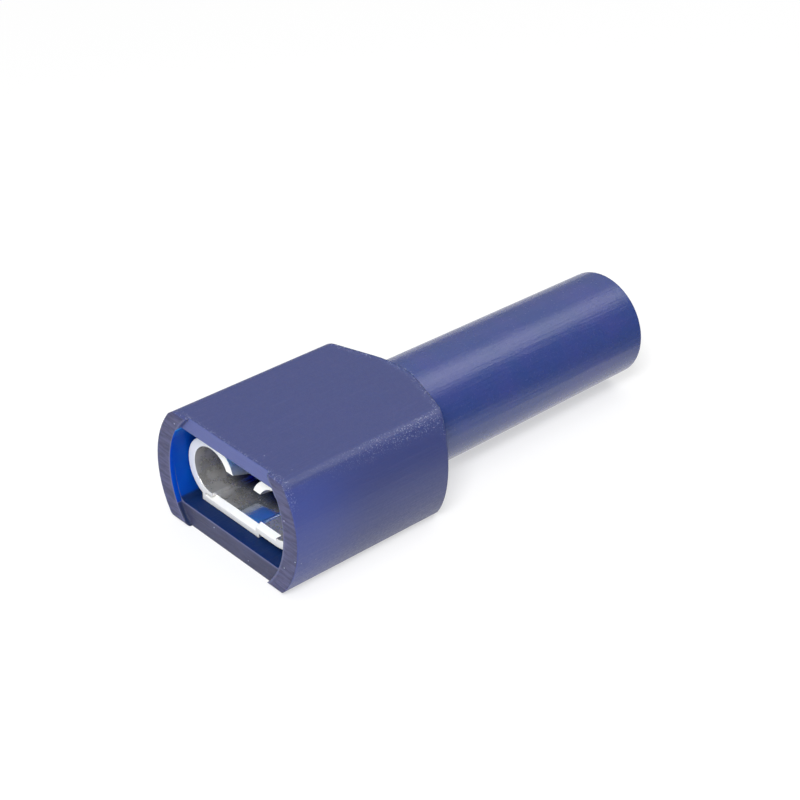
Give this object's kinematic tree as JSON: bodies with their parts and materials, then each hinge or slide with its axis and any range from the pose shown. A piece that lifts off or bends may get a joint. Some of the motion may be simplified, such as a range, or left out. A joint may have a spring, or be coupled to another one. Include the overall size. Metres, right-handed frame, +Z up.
{
  "type": "fully insulated female spade terminal",
  "caption": "Insulated female spade terminal: a boxed moulded mouth with bowed sides over a rolled brass receptacle, and a round tube that takes the crimped wire.",
  "frame": {"origin": "middle of the underside of the overall box: half the width, half the length, at the level of the flat underside", "axes": "+Y along the wire tube away from the mouth, +Z up from the flat underside, +X across the width; the mouth faces -Y"},
  "size_m": [0.0094, 0.0242, 0.0057],
  "materials": {
    "housing_plastic": "blue moulded nylon, satin, with a faint speckle and fine drag lines along its length",
    "tinned_brass": "tinned brass strip, semi-bright, with bright sheared edges"
  },
  "bodies": {
    "root": {"housing": "housing_plastic", "receptacle": "tinned_brass"}
  },
  "joints": []
}
